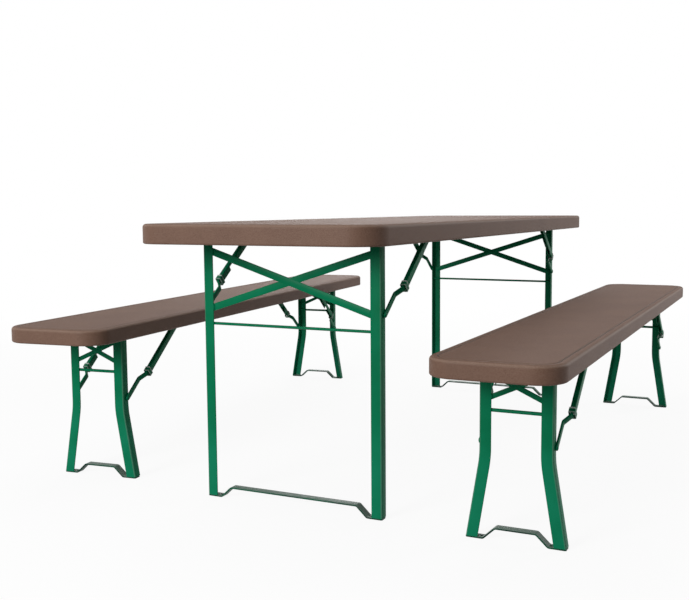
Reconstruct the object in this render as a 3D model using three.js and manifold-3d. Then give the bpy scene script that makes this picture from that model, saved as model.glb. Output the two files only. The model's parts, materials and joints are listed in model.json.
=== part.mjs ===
// A folding table and two folding benches: moulded tops on steel leg frames with locking stays.
// Millimetres, +Z up. X runs across the table, Y along it, and the floor is Z = 0.
import * as THREE from "three";
import { mergeVertices } from "three/addons/utils/BufferGeometryUtils.js";
import Module from "manifold-3d";

const wasm = await Module();
wasm.setup();

// Clearances
const FIT = 0.3; // between pieces that are welded, screwed or riveted together
const RUN = 0.5; // round the sliding lock rings
const OVERRUN = 1; // how far a cut passes a face, and a pin reaches into what carries it

// Moulded tops
const TABLE_LENGTH = 2200;
const TABLE_WIDTH = 700;
const TABLE_HEIGHT = 770;
const TABLE_RIM = 52;
const BENCH_LENGTH = 2200;
const BENCH_WIDTH = 318;
const BENCH_HEIGHT = 476;
const BENCH_RIM = 44;
const TABLE_CORNER = 85;
const BENCH_CORNER = 72;
const DECK = 16; // moulded thickness above the recess
const RIM_WALL = 15;
const RECESS_DRAFT = 3;
const EDGE_ROUND = 9;
const LIP_ROUND = 5;
const GROOVE_INSET = 17; // from the edge to the near side of the groove in the top
const GROOVE_WIDTH = 7;
const GROOVE_FLOOR = 2.8;
const GROOVE_DEPTH = 2;
const DIMPLE_PITCH = 150; // kiss-off dimples pressed into the underside
const DIMPLE_LENGTH = 96;
const DIMPLE_WIDTH = 62;
const DIMPLE_DEPTH = 9;
const DIMPLE_TAPER = 0.72;
const DIMPLE_MARGIN = 34;

// Leg frames: angle-iron legs, flat braces, a tie rod and a bent foot bar
const ANGLE_FACE = 30; // flange that faces the end of the table
const ANGLE_SIDE = 27; // flange that faces sideways
const ANGLE_WALL = 3;
const AXIS_DROP = 18; // fold axis below the ceiling of the recess
const AXIS_SETBACK = 20; // fold axis behind the outer face of the end flange
const LEG_ABOVE_AXIS = 10;
const TABLE_END_OVERHANG = 212; // from the outer face of the end flange to the end of the top
const TABLE_SIDE_OVERHANG = 81; // from the outer face of a leg to the side of the top
const TABLE_BRACE_WIDTH = 20;
const TABLE_BRACE_HIGH = 41; // brace ends below the fold axis
const TABLE_BRACE_LOW = 204;
const TABLE_ROD_DROP = 244;
const TABLE_ROD = 8;
const BENCH_END_OVERHANG = 220;
const BENCH_SIDE_OVERHANG = 67.5;
const BENCH_SPLAY = 33.5; // how far a foot stands outside the upper leg
const BENCH_KNEE = 207; // height of the bend in a bench leg
const BENCH_BRACE_WIDTH = 13;
const BENCH_BRACE_HIGH = 24;
const BENCH_BRACE_LOW = 94;
const BENCH_ROD_DROP = 120;
const BENCH_ROD = 9;
const KNEE_RADIUS = 250;
const BRACE_THICKNESS = 4;
const BRACE_LAP = 16; // how far a brace end reaches behind a leg's flange
const FOOT_WIDTH = 26;
const FOOT_THICKNESS = 4;
const FOOT_PLATE = 44; // flat length under each leg
const FOOT_RAMP = 30;
const FOOT_RISE = 28;
const FOOT_HOLE = 8;

// Mounting plate screwed into the recess, with the ears of the fold axis and the stays
const PLATE_THICKNESS = 2.5;
const PLATE_FRONT = 14; // beyond the fold axis
const PLATE_REAR = 18; // beyond the stay's upper pivot
const PLATE_CROSS = 38; // depth of the strip that joins the two arms
const PLATE_OUTER = 30; // beyond a leg's outer face
const PLATE_INNER = 40; // inside a leg's outer face
const EAR_THICKNESS = 3;
const EAR_RADIUS = 9;
const AXIS_PIN = 8;
const AXIS_HEAD = 13;
const AXIS_HEAD_THICKNESS = 2.5;

// Folding stays: a channel above, a joggled flat link below and a ring that locks the knee
const STAY_REACH = 262; // from the fold axis to the upper pivot, along the top
const STAY_DROP = 200; // from the fold axis down to the rivet on the leg
const STAY_STANDOFF = 5; // lets a splayed leg fold past the stay's upper pivot
const LINK_WIDTH = 15;
const LINK_THICKNESS = 5;
const JOGGLE_START = 32; // below the knee pivot
const JOGGLE_END = 56;
const KNEE_PIN = 6;
const RIVET_HEAD = 12;
const RIVET_HEIGHT = 1.8;
const RIVET_TAIL = 2.5;
const CHANNEL_WIDTH = 13;
const CHANNEL_SHEET = 1.5;
const CHANNEL_BACK = 10; // from the pivots to the back of the web
const CHANNEL_FRONT = 9; // from the pivots to the open edge
const CHANNEL_TAIL = 28; // below the knee pivot
const CHANNEL_HEAD = 9; // above the upper pivot
const CHANNEL_CHAMFER = 3;
const STAY_PIN = 8;
const STAY_HEAD = 12;
const STAY_HEAD_THICKNESS = 2.2;
const RING_SHEET = 1.6;
const RING_HEIGHT = 14;
const RING_OVERHANG = 2; // below the end of the channel
const RING_SLACK = 4; // room for the link to swing on the open side
const RING_ROUND = 3;
const RING_LIP = 2;

// Where the benches stand: the gap from the side of the table, the shift along it, and the turn
const LEFT_BENCH_GAP = 269;
const LEFT_BENCH_SHIFT = 21;
const LEFT_BENCH_TURN = 5.77; // degrees
const RIGHT_BENCH_GAP = 121;
const RIGHT_BENCH_SHIFT = -30;
const RIGHT_BENCH_TURN = 0;

const CORNER_STEPS = 6;
const ROUND_STEPS = 3;
const BEND_STEPS = 4;
const PIN_SIDES = 8;
const DIMPLE_SIDES = 8;
const MERGE_TOLERANCE = 1e-4;

// The stay's two links lie in line when locked, and one on the other when the frame is folded
const STAY_SPAN = Math.hypot(STAY_REACH, STAY_DROP);
const STAY_SLOPE = Math.atan2(STAY_DROP, STAY_REACH);
const UPPER_LENGTH = (STAY_SPAN + STAY_REACH - STAY_DROP) / 2;
const LOWER_LENGTH = STAY_SPAN - UPPER_LENGTH;

// Sideways places in a stay, from the outer face of the leg
const LINK_FACE = FIT;
const RING_FACE = LINK_FACE + LINK_THICKNESS + STAY_STANDOFF + RUN;
const CHANNEL_FACE = RING_FACE + RING_SHEET + RUN;
const CHANNEL_OUTER = CHANNEL_FACE + CHANNEL_WIDTH;
const LINK_UPPER_FACE = CHANNEL_FACE + (CHANNEL_WIDTH - LINK_THICKNESS) / 2;
const STAY_EAR_FACE = CHANNEL_FACE - FIT - EAR_THICKNESS;

const plastic = new THREE.MeshStandardMaterial({ color: 0x6e5a50, roughness: 0.55, metalness: 0 });
const paint = new THREE.MeshStandardMaterial({ color: 0x00734b, roughness: 0.45, metalness: 0 });
const wornPaint = new THREE.MeshStandardMaterial({ color: 0x1f8560, roughness: 0.4, metalness: 0.2 });

const TABLE = {
  length: TABLE_LENGTH,
  width: TABLE_WIDTH,
  height: TABLE_HEIGHT,
  rim: TABLE_RIM,
  corner: TABLE_CORNER,
  axisY: TABLE_LENGTH / 2 - TABLE_END_OVERHANG - AXIS_SETBACK,
  axisZ: TABLE_HEIGHT - DECK - AXIS_DROP,
  half: TABLE_WIDTH / 2 - TABLE_SIDE_OVERHANG,
  splay: 0,
  brace: TABLE_BRACE_WIDTH,
  braceHigh: TABLE_BRACE_HIGH,
  braceLow: TABLE_BRACE_LOW,
  rod: TABLE_ROD,
  rodDrop: TABLE_ROD_DROP,
  seam: FIT, // the members are pieces of their own
};
const BENCH = {
  length: BENCH_LENGTH,
  width: BENCH_WIDTH,
  height: BENCH_HEIGHT,
  rim: BENCH_RIM,
  corner: BENCH_CORNER,
  axisY: BENCH_LENGTH / 2 - BENCH_END_OVERHANG - AXIS_SETBACK,
  axisZ: BENCH_HEIGHT - DECK - AXIS_DROP,
  half: BENCH_WIDTH / 2 - BENCH_SIDE_OVERHANG,
  splay: BENCH_SPLAY,
  knee: BENCH_KNEE,
  brace: BENCH_BRACE_WIDTH,
  braceHigh: BENCH_BRACE_HIGH,
  braceLow: BENCH_BRACE_LOW,
  rod: BENCH_ROD,
  rodDrop: BENCH_ROD_DROP,
  seam: -FIT, // the members reach into each other by the weld
};

// Solids: closed three.js geometry that can be joined and cut
function solid(geometry) {
  const bare = new THREE.BufferGeometry();
  bare.setAttribute("position", geometry.getAttribute("position"));
  bare.setIndex(geometry.index);
  const merged = mergeVertices(bare, MERGE_TOLERANCE);
  return new wasm.Manifold(
    new wasm.Mesh({
      numProp: 3,
      vertProperties: merged.getAttribute("position").array,
      triVerts: new Uint32Array(merged.index.array),
    }),
  );
}

function join(first, ...others) {
  return others.reduce((sum, other) => sum.add(other), first);
}

function cut(first, ...others) {
  return others.reduce((rest, other) => rest.subtract(other), first);
}

function geometryOf(body) {
  const mesh = body.getMesh();
  const geometry = new THREE.BufferGeometry();
  geometry.setAttribute("position", new THREE.BufferAttribute(mesh.vertProperties, 3));
  geometry.setIndex(new THREE.BufferAttribute(mesh.triVerts, 1));
  const faceted = geometry.toNonIndexed();
  faceted.computeVertexNormals();
  return faceted;
}

function piece(name, geometry, material) {
  const mesh = new THREE.Mesh(geometry, material);
  mesh.name = name;
  return mesh;
}

function polygon(points) {
  return new THREE.Shape(points.map(([x, y]) => new THREE.Vector2(x, y)));
}

function rectangle(x0, y0, x1, y1) {
  return polygon([[x0, y0], [x1, y0], [x1, y1], [x0, y1]]);
}

function extrude(shape, depth, curveSegments = ROUND_STEPS) {
  return new THREE.ExtrudeGeometry(shape, { depth, bevelEnabled: false, curveSegments });
}

// An outline in the Y-Z plane, thick along X from x
function acrossX(shape, x, thickness) {
  const turn = new THREE.Matrix4().makeBasis(
    new THREE.Vector3(0, 1, 0),
    new THREE.Vector3(0, 0, 1),
    new THREE.Vector3(1, 0, 0),
  );
  return solid(extrude(shape, thickness).applyMatrix4(turn).translate(x, 0, 0));
}

// An outline in the X-Z plane, thick along Y from y
function acrossY(shape, y, thickness, steps = ROUND_STEPS) {
  const slab = extrude(shape, thickness, steps).rotateX(Math.PI / 2);
  return solid(slab.translate(0, y + thickness, 0));
}

// An outline in the X-Y plane, thick along Z from z
function acrossZ(shape, z, thickness) {
  return solid(extrude(shape, thickness).translate(0, 0, z));
}

// A round bar along X
function barX(diameter, x0, x1, y, z) {
  const bar = new THREE.CylinderGeometry(diameter / 2, diameter / 2, Math.abs(x1 - x0), PIN_SIDES);
  return solid(bar.rotateZ(Math.PI / 2).translate((x0 + x1) / 2, y, z));
}

// A bore along X whose flats clear a round bar of that diameter
function boreX(diameter, x0, x1, y, z) {
  return barX(diameter / Math.cos(Math.PI / PIN_SIDES), x0, x1, y, z);
}

// A strip of even width from one point to another
function strip([x0, y0], [x1, y1], width) {
  const length = Math.hypot(x1 - x0, y1 - y0);
  const nx = ((y0 - y1) / length) * (width / 2);
  const ny = ((x1 - x0) / length) * (width / 2);
  return polygon([[x0 - nx, y0 - ny], [x1 - nx, y1 - ny], [x1 + nx, y1 + ny], [x0 + nx, y0 + ny]]);
}

// A bent sheet seen edge on: the given face, and the other face one thickness to its left
function bentSheet(points, thickness) {
  const normals = points.slice(1).map(([x, y], i) => {
    const [px, py] = points[i];
    const length = Math.hypot(x - px, y - py);
    return [(py - y) / length, (x - px) / length];
  });
  const farFace = points.map(([x, y], i) => {
    const [ax, ay] = normals[Math.max(i - 1, 0)];
    const [bx, by] = normals[Math.min(i, normals.length - 1)];
    const mitre = thickness / (1 + ax * bx + ay * by);
    return [x + (ax + bx) * mitre, y + (ay + by) * mitre];
  });
  return polygon([...points, ...farFace.reverse()]);
}

// One level of a moulded top: a rectangle with round corners, moved in from the edge
function outlineRing(unit, inset, z) {
  const radius = Math.max(unit.corner - inset, LIP_ROUND);
  const cx = unit.width / 2 - inset - radius;
  const cy = unit.length / 2 - inset - radius;
  const corners = [[cx, cy, 0], [-cx, cy, 1], [-cx, -cy, 2], [cx, -cy, 3]];
  return corners.flatMap(([x, y, quarter]) =>
    Array.from({ length: CORNER_STEPS + 1 }, (_, step) => {
      const angle = ((quarter + step / CORNER_STEPS) * Math.PI) / 2;
      return new THREE.Vector3(x + radius * Math.cos(angle), y + radius * Math.sin(angle), z);
    }),
  );
}

// A skin through rings of equal count, closed by a cap on the first and on the last
function loft(rings) {
  const count = rings[0].length;
  const positions = rings.flat().flatMap((point) => point.toArray());
  const indices = [];
  for (let level = 0; level < rings.length - 1; level += 1) {
    for (let i = 0; i < count; i += 1) {
      const a = level * count + i;
      const b = level * count + ((i + 1) % count);
      indices.push(a, a + count, b, b, a + count, b + count);
    }
  }
  const flat = (ring) => ring.map((point) => new THREE.Vector2(point.x, point.y));
  for (const [p, q, r] of THREE.ShapeUtils.triangulateShape(flat(rings[0]), [])) {
    indices.push(p, q, r);
  }
  const last = (rings.length - 1) * count;
  for (const [p, q, r] of THREE.ShapeUtils.triangulateShape(flat(rings.at(-1)), [])) {
    indices.push(last + r, last + q, last + p);
  }
  const geometry = new THREE.BufferGeometry();
  geometry.setAttribute("position", new THREE.Float32BufferAttribute(positions, 3));
  geometry.setIndex(indices);
  return solid(geometry);
}

// A quarter round from the top of a face to its side, as pairs of inset and height
function quarterRound(radius, inset, z, startAngle) {
  return Array.from({ length: ROUND_STEPS + 1 }, (_, step) => {
    const angle = startAngle + (step / ROUND_STEPS) * (Math.PI / 2);
    return [inset - radius * Math.sin(angle), z + radius * Math.cos(angle)];
  });
}

// A blow-moulded top: rounded rim, groove round the upper face, recess and dimples below
function mouldedTop(unit) {
  const top = unit.height;
  const bottom = unit.height - unit.rim;
  const ceiling = unit.height - DECK;
  const profile = [
    [GROOVE_INSET + GROOVE_WIDTH, top],
    [GROOVE_INSET + (GROOVE_WIDTH + GROOVE_FLOOR) / 2, top - GROOVE_DEPTH],
    [GROOVE_INSET + (GROOVE_WIDTH - GROOVE_FLOOR) / 2, top - GROOVE_DEPTH],
    [GROOVE_INSET, top],
    ...quarterRound(EDGE_ROUND, EDGE_ROUND, top - EDGE_ROUND, 0),
    ...quarterRound(LIP_ROUND, LIP_ROUND, bottom + LIP_ROUND, Math.PI / 2),
    [RIM_WALL, bottom],
    [RIM_WALL + RECESS_DRAFT, ceiling],
  ];
  const shell = loft(profile.map(([inset, z]) => outlineRing(unit, inset, z)));
  return cut(shell, ...dimples(unit, ceiling));
}

// Rows of tapered oval dimples between the two mounting plates
function dimples(unit, ceiling) {
  const span = 2 * (unit.axisY - STAY_REACH - PLATE_REAR - DIMPLE_MARGIN) - DIMPLE_LENGTH;
  const reach = unit.width - 2 * (RIM_WALL + RECESS_DRAFT + DIMPLE_MARGIN) - DIMPLE_WIDTH;
  const rows = Math.floor(span / DIMPLE_PITCH) + 1;
  const columns = Math.floor(reach / DIMPLE_PITCH) + 1;
  const oval = new THREE.CylinderGeometry(DIMPLE_TAPER / 2, 1 / 2, 2 * DIMPLE_DEPTH, DIMPLE_SIDES);
  oval.rotateX(Math.PI / 2).scale(DIMPLE_WIDTH, DIMPLE_LENGTH, 1);
  const places = [];
  for (let row = 0; row < rows; row += 1) {
    for (let column = 0; column < columns; column += 1) {
      const x = (column - (columns - 1) / 2) * DIMPLE_PITCH;
      const y = (row - (rows - 1) / 2) * DIMPLE_PITCH;
      places.push(solid(oval.clone().translate(x, y, ceiling)));
    }
  }
  return places;
}

// Leg frame. Its origin is the fold axis, +Y runs to the middle of the top

// Outline of one flange of the right leg, straight to the knee and splayed below it
function legBand(unit, width) {
  const foot = FOOT_THICKNESS + unit.seam - unit.axisZ;
  const footX = unit.half + unit.splay;
  const shape = new THREE.Shape();
  shape.moveTo(unit.half - width, LEG_ABOVE_AXIS);
  shape.lineTo(unit.half, LEG_ABOVE_AXIS);
  if (unit.splay > 0) {
    const knee = unit.knee - unit.axisZ;
    const bend = Math.atan2(unit.splay, knee - foot);
    const cx = unit.half + KNEE_RADIUS;
    const cz = knee + KNEE_RADIUS * Math.tan(bend / 2);
    shape.absarc(cx, cz, KNEE_RADIUS, Math.PI, Math.PI + bend, false);
    shape.lineTo(footX, foot);
    shape.lineTo(footX - width / Math.cos(bend), foot);
    shape.absarc(cx, cz, KNEE_RADIUS + width, Math.PI + bend, Math.PI, true);
  } else {
    shape.lineTo(footX, foot);
    shape.lineTo(footX - width, foot);
  }
  shape.closePath();
  return shape;
}

// An angle-iron leg with its axis hole and the inner end of the stay's rivet
function rightLeg(unit) {
  const inner = unit.half - ANGLE_WALL;
  const leg = join(
    acrossY(legBand(unit, ANGLE_FACE), -AXIS_SETBACK, ANGLE_WALL, BEND_STEPS),
    acrossY(legBand(unit, ANGLE_WALL), -AXIS_SETBACK, ANGLE_SIDE, BEND_STEPS),
    barX(RIVET_HEAD, inner - RIVET_TAIL, inner + ANGLE_WALL / 2, 0, -STAY_DROP),
  );
  const hole = boreX(AXIS_PIN + 2 * FIT, inner - OVERRUN, unit.half + OVERRUN, 0, 0);
  return cut(leg, hole);
}

// Two flat bars crossing behind the end flanges
function crossBrace(unit) {
  const end = unit.half - ANGLE_FACE + BRACE_LAP;
  const y = ANGLE_WALL + unit.seam - AXIS_SETBACK;
  const bar = (side) =>
    acrossY(
      strip([-side * end, -unit.braceHigh], [side * end, -unit.braceLow], unit.brace),
      y,
      BRACE_THICKNESS,
    );
  return join(bar(1), bar(-1));
}

function tieRod(unit) {
  const end = unit.half - ANGLE_WALL - unit.seam;
  const y = ANGLE_WALL + unit.seam + unit.rod / 2 - AXIS_SETBACK;
  return barX(unit.rod, -end, end, y, -unit.rodDrop);
}

// A flat bar bent up between two foot plates
function footBar(unit) {
  const floor = -unit.axisZ;
  const end = unit.half + unit.splay;
  const plateEnd = end - FOOT_PLATE;
  const rampEnd = plateEnd - FOOT_RAMP;
  const right = [
    [rampEnd, floor + FOOT_RISE],
    [plateEnd, floor],
    [end, floor],
  ];
  const left = right.map(([x, z]) => [-x, z]).reverse();
  const bar = acrossY(bentSheet([...left, ...right], FOOT_THICKNESS), -AXIS_SETBACK, FOOT_WIDTH);
  const hole = new THREE.CylinderGeometry(FOOT_HOLE / 2, FOOT_HOLE / 2, 4 * FOOT_THICKNESS, PIN_SIDES);
  hole.rotateX(Math.PI / 2);
  const x = end - ANGLE_FACE - FOOT_HOLE;
  const y = FOOT_WIDTH / 2 - AXIS_SETBACK;
  const holes = [-x, x].map((place) => solid(hole.clone().translate(place, y, floor)));
  return cut(bar, ...holes);
}

// A plate with two arms, two ears with the pins of the fold axis, and two ears for the stays
function mountingPlate(unit) {
  const outer = unit.half + PLATE_OUTER;
  const inner = unit.half - PLATE_INNER;
  const rear = STAY_REACH + PLATE_REAR;
  const outline = polygon([
    [-outer, -PLATE_FRONT],
    [outer, -PLATE_FRONT],
    [outer, rear],
    [inner, rear],
    [inner, PLATE_CROSS],
    [-inner, PLATE_CROSS],
    [-inner, rear],
    [-outer, rear],
  ]);
  const under = AXIS_DROP - FIT - PLATE_THICKNESS;
  const plate = acrossZ(outline, under, PLATE_THICKNESS);
  const axisEar = unit.half - ANGLE_WALL - FIT - EAR_THICKNESS;
  const stayEar = unit.half + STAY_EAR_FACE;
  const headFace = unit.half + FIT;
  const side = (sign) => {
    const ear = (y, face) => {
      const shape = earOutline(y, under + PLATE_THICKNESS / 2);
      return acrossX(shape, sign > 0 ? face : -face - EAR_THICKNESS, EAR_THICKNESS);
    };
    const hole = boreX(
      STAY_PIN + 2 * FIT,
      sign * (stayEar - OVERRUN),
      sign * (stayEar + EAR_THICKNESS + OVERRUN),
      STAY_REACH,
      0,
    );
    return join(
      ear(0, axisEar),
      cut(ear(STAY_REACH, stayEar), hole),
      barX(AXIS_PIN, sign * (axisEar + OVERRUN), sign * (headFace + OVERRUN), 0, 0),
      barX(AXIS_HEAD, sign * headFace, sign * (headFace + AXIS_HEAD_THICKNESS), 0, 0),
    );
  };
  return join(plate, side(1), side(-1));
}

// An ear round a pivot at height 0, up to the plate
function earOutline(y, top) {
  const shape = new THREE.Shape();
  shape.moveTo(y + EAR_RADIUS, top);
  shape.lineTo(y - EAR_RADIUS, top);
  shape.absarc(y, 0, EAR_RADIUS, Math.PI, 2 * Math.PI, false);
  shape.closePath();
  return shape;
}

// Folding stay. Its origin is the knee pivot, +Y runs up the stay, +Z to the fold axis, and X is
// counted from the outer face of the leg

// The upper link: a channel, open below, whose inner wall is notched for the folded link's joggle
function upperLink() {
  const head = UPPER_LENGTH + CHANNEL_HEAD;
  const low = -CHANNEL_FRONT;
  const high = CHANNEL_BACK;
  const chamfer = CHANNEL_CHAMFER;
  const notchTop = LINK_WIDTH / 2 + 2 * FIT;
  const tailEnd = [
    [chamfer - CHANNEL_TAIL, low],
    [-CHANNEL_TAIL, low + chamfer],
    [-CHANNEL_TAIL, high],
  ];
  const headEnd = [
    [head - chamfer, high],
    [head, high - chamfer],
    [head, low + chamfer],
    [head - chamfer, low],
  ];
  const notch = [
    [JOGGLE_END, low],
    [JOGGLE_END, notchTop],
    [JOGGLE_START, notchTop],
    [JOGGLE_START, low],
  ];
  const web = rectangle(CHANNEL_FACE, high - CHANNEL_SHEET, CHANNEL_OUTER, high);
  return join(
    acrossX(polygon([...tailEnd, ...headEnd, ...notch]), CHANNEL_FACE, CHANNEL_SHEET),
    acrossX(polygon([...tailEnd, ...headEnd]), CHANNEL_OUTER - CHANNEL_SHEET, CHANNEL_SHEET),
    acrossY(web, -CHANNEL_TAIL, head - chamfer + CHANNEL_TAIL),
    barX(KNEE_PIN, CHANNEL_FACE + CHANNEL_SHEET / 2, CHANNEL_OUTER - CHANNEL_SHEET / 2, 0, 0),
    barX(
      STAY_PIN,
      STAY_EAR_FACE - FIT - OVERRUN,
      CHANNEL_OUTER - CHANNEL_SHEET / 2,
      UPPER_LENGTH,
      0,
    ),
    barX(
      STAY_HEAD,
      STAY_EAR_FACE - FIT - STAY_HEAD_THICKNESS,
      STAY_EAR_FACE - FIT,
      UPPER_LENGTH,
      0,
    ),
  );
}

// The lower link: a flat bar joggled out from the leg to the middle of the channel
function lowerLink() {
  const radius = LINK_WIDTH / 2;
  const face = [
    [LINK_UPPER_FACE, radius],
    [LINK_UPPER_FACE, -JOGGLE_START],
    [LINK_FACE, -JOGGLE_END],
    [LINK_FACE, -LOWER_LENGTH - radius],
  ];
  const bar = acrossZ(bentSheet(face, LINK_THICKNESS), -radius, LINK_WIDTH);
  const outline = new THREE.Shape();
  outline.absarc(0, 0, radius, -Math.PI / 2, Math.PI / 2, false);
  outline.absarc(-LOWER_LENGTH, 0, radius, Math.PI / 2, (3 * Math.PI) / 2, false);
  outline.closePath();
  const rounded = bar.intersect(acrossX(outline, 0, CHANNEL_OUTER));
  const hole = boreX(KNEE_PIN + 2 * FIT, CHANNEL_FACE, CHANNEL_OUTER, 0, 0);
  const rivetFace = LINK_FACE + LINK_THICKNESS;
  const rivet = barX(RIVET_HEAD, rivetFace - OVERRUN, rivetFace + RIVET_HEIGHT, -LOWER_LENGTH, 0);
  return join(cut(rounded, hole), rivet);
}

// The lock ring: a sheet collar with two flared lips
function lockRing() {
  const x0 = RING_FACE;
  const x1 = CHANNEL_OUTER + RUN + RING_SHEET;
  const z0 = -CHANNEL_FRONT - RING_SLACK - RING_SHEET;
  const z1 = CHANNEL_BACK + RUN + RING_SHEET;
  const y0 = -CHANNEL_TAIL - RING_OVERHANG;
  const collar = roundedFrame(x0, z0, x1, z1, RING_ROUND);
  collar.holes.push(
    rectangle(x0 + RING_SHEET, z0 + RING_SHEET, x1 - RING_SHEET, z1 - RING_SHEET),
  );
  const y1 = y0 + RING_HEIGHT;
  const lip = (z, out) =>
    acrossX(
      polygon([
        [y1 - RING_LIP, z - out * (RING_SHEET / 2)],
        [y1, z - out * (RING_SHEET / 2)],
        [y1 + RING_SHEET / 2, z + out * (RING_LIP - RING_SHEET / 2)],
        [y1 - RING_SHEET / 2, z + out * RING_LIP],
        [y1 - RING_LIP, z],
      ]),
      x0 + RING_ROUND,
      x1 - x0 - 2 * RING_ROUND,
    );
  return join(acrossY(collar, y0, RING_HEIGHT), lip(z1, 1), lip(z0, -1));
}

function roundedFrame(x0, y0, x1, y1, radius) {
  const shape = new THREE.Shape();
  shape.absarc(x1 - radius, y0 + radius, radius, -Math.PI / 2, 0, false);
  shape.absarc(x1 - radius, y1 - radius, radius, 0, Math.PI / 2, false);
  shape.absarc(x0 + radius, y1 - radius, radius, Math.PI / 2, Math.PI, false);
  shape.absarc(x0 + radius, y0 + radius, radius, Math.PI, (3 * Math.PI) / 2, false);
  shape.closePath();
  return shape;
}

// Assembly
const STAY_PIECES = [
  ["upper_stay", geometryOf(upperLink()), paint],
  ["lower_stay", geometryOf(lowerLink()), paint],
  ["lock_ring", geometryOf(lockRing()), wornPaint],
];

function mirrored(sign) {
  const group = new THREE.Group();
  group.scale.x = sign;
  return group;
}

// The right and left stay of one frame
function addStays(group, unit, prefix, sideName) {
  for (const sign of [1, -1]) {
    const stay = mirrored(sign);
    stay.position.set(
      sign * unit.half,
      STAY_REACH - UPPER_LENGTH * Math.cos(STAY_SLOPE),
      -UPPER_LENGTH * Math.sin(STAY_SLOPE),
    );
    stay.rotation.x = STAY_SLOPE;
    for (const [name, geometry, material] of STAY_PIECES) {
      stay.add(piece(`${prefix}_${name}_${sideName(sign)}`, geometry, material));
    }
    group.add(stay);
  }
}

// The table's frames keep their welded members as pieces of their own
function tableFrame(prefix, sideName) {
  const group = new THREE.Group();
  const leg = geometryOf(rightLeg(TABLE));
  for (const sign of [1, -1]) {
    const side = mirrored(sign);
    side.add(piece(`${prefix}_leg_${sideName(sign)}`, leg, paint));
    group.add(side);
  }
  group.add(piece(`${prefix}_cross_brace`, geometryOf(crossBrace(TABLE)), paint));
  group.add(piece(`${prefix}_tie_rod`, geometryOf(tieRod(TABLE)), paint));
  group.add(piece(`${prefix}_foot_bar`, geometryOf(footBar(TABLE)), paint));
  group.add(piece(`${prefix}_mounting_plate`, geometryOf(mountingPlate(TABLE)), paint));
  addStays(group, TABLE, prefix, sideName);
  return group;
}

// A bench's frame is one welded piece
function benchFrame(prefix, sideName) {
  const group = new THREE.Group();
  const leg = rightLeg(BENCH);
  const frame = join(
    leg,
    leg.mirror([1, 0, 0]),
    crossBrace(BENCH),
    tieRod(BENCH),
    footBar(BENCH),
  );
  group.add(piece(`${prefix}_leg_frame`, geometryOf(frame), paint));
  group.add(piece(`${prefix}_mounting_plate`, geometryOf(mountingPlate(BENCH)), paint));
  addStays(group, BENCH, prefix, sideName);
  return group;
}

function unitGroup(name, unit, makeFrame) {
  const group = new THREE.Group();
  group.add(piece(`${name}_top`, geometryOf(mouldedTop(unit)), plastic));
  const ends = [["front", -1, 0], ["rear", 1, Math.PI]];
  for (const [end, sign, turn] of ends) {
    const sideName = (side) => (side * sign < 0 ? "right" : "left");
    const frame = makeFrame(`${name}_${end}`, sideName);
    frame.position.set(0, sign * unit.axisY, unit.axisZ);
    frame.rotation.z = turn;
    group.add(frame);
  }
  return group;
}

function placed(group, x, y, degrees) {
  group.position.set(x, y, 0);
  group.rotation.z = THREE.MathUtils.degToRad(degrees);
  return group;
}

const set = new THREE.Group();
set.add(unitGroup("table", TABLE, tableFrame));
const benchReach = (TABLE_WIDTH + BENCH_WIDTH) / 2;
const leftX = -benchReach - LEFT_BENCH_GAP;
const rightX = benchReach + RIGHT_BENCH_GAP;
const leftBench = unitGroup("left_bench", BENCH, benchFrame);
const rightBench = unitGroup("right_bench", BENCH, benchFrame);
set.add(placed(leftBench, leftX, LEFT_BENCH_SHIFT, LEFT_BENCH_TURN));
set.add(placed(rightBench, rightX, RIGHT_BENCH_SHIFT, RIGHT_BENCH_TURN));

// The origin lies on the floor, under the middle of the whole set
const bounds = new THREE.Box3().setFromObject(set, true);
const middle = bounds.getCenter(new THREE.Vector3());
set.position.set(-middle.x, -middle.y, -bounds.min.z);

const object = new THREE.Group();
object.add(set);

export default object;
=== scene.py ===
"""A folding table with matching benches: grained plastic tops on green powder-coated steel frames."""
import json
import math
import bmesh
import bpy
from mathutils import Matrix, Vector

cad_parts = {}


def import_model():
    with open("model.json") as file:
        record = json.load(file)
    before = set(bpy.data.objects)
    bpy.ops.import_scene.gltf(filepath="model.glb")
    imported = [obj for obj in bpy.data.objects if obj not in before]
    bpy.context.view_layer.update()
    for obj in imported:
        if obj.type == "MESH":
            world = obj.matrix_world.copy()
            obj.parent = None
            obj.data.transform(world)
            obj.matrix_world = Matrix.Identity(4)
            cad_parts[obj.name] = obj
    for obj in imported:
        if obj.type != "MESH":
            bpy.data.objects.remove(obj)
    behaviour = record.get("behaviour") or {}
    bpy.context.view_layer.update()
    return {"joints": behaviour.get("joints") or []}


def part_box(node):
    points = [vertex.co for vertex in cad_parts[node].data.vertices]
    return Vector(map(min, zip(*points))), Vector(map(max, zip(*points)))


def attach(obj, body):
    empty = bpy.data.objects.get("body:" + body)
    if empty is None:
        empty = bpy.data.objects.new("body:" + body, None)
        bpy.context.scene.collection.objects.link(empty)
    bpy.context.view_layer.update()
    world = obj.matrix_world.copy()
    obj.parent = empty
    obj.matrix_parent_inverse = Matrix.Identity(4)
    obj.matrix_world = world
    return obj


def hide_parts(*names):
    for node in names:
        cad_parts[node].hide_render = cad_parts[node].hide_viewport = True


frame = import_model()
JOINTS = {joint["name"]: joint for joint in frame["joints"]}
MM = 0.001
X, Y, Z = Vector((1, 0, 0)), Vector((0, 1, 0)), Vector((0, 0, 1))

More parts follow.
